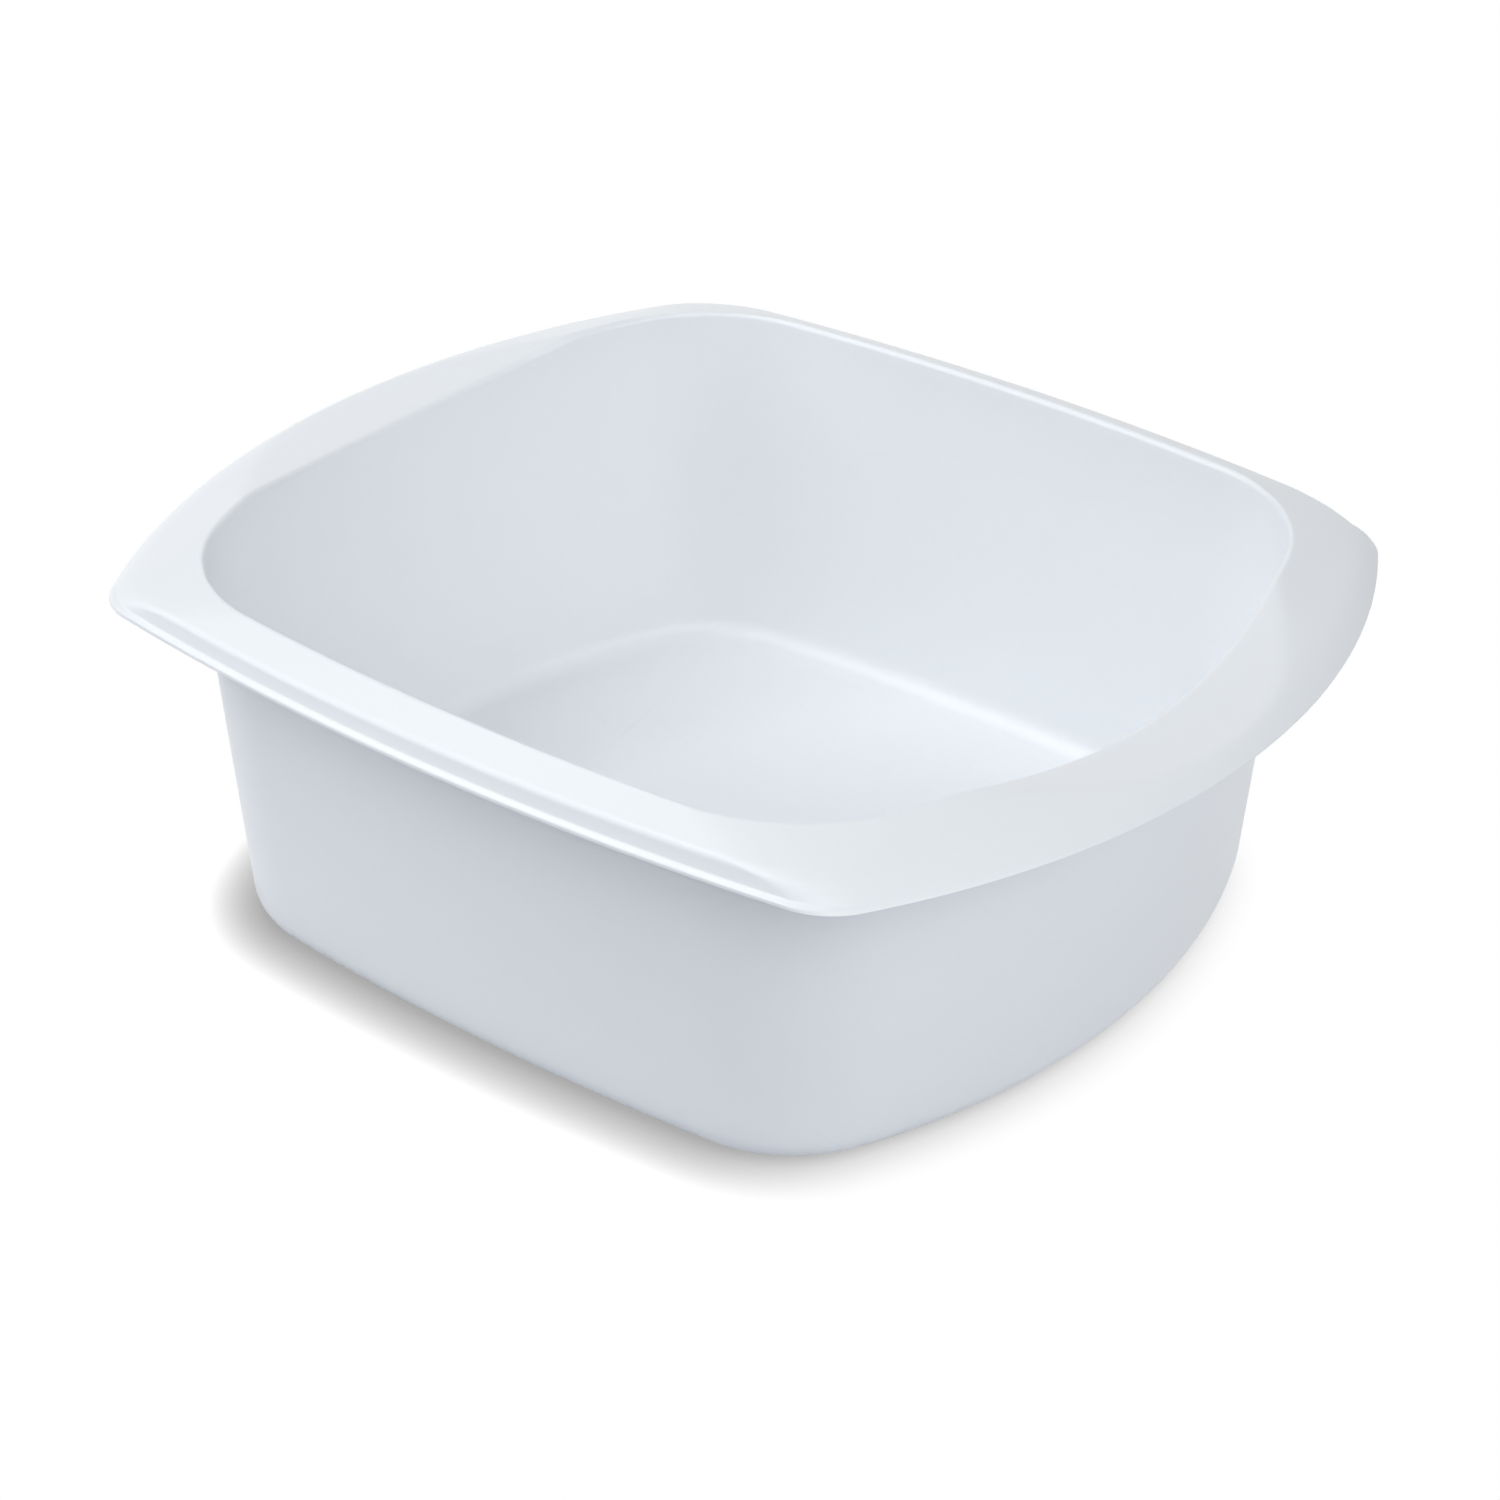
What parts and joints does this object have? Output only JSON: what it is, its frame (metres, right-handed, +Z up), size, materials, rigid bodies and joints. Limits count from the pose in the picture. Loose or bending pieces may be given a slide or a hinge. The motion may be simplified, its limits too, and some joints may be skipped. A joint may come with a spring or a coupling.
{
  "type": "washing up bowl",
  "caption": "One-piece rectangular washing up bowl with bowed walls, a turned-down beaded rim along the sides and a rolled, scooped grip at each end.",
  "frame": {"origin": "middle of the base, on the surface that the bowl stands on", "axes": "+X along the bowl through the two end grips, +Y across it, +Z up"},
  "size_m": [0.39, 0.324, 0.1315],
  "materials": {
    "white_plastic": "satin"
  },
  "bodies": {
    "root": {"bowl": "white_plastic"}
  },
  "joints": []
}
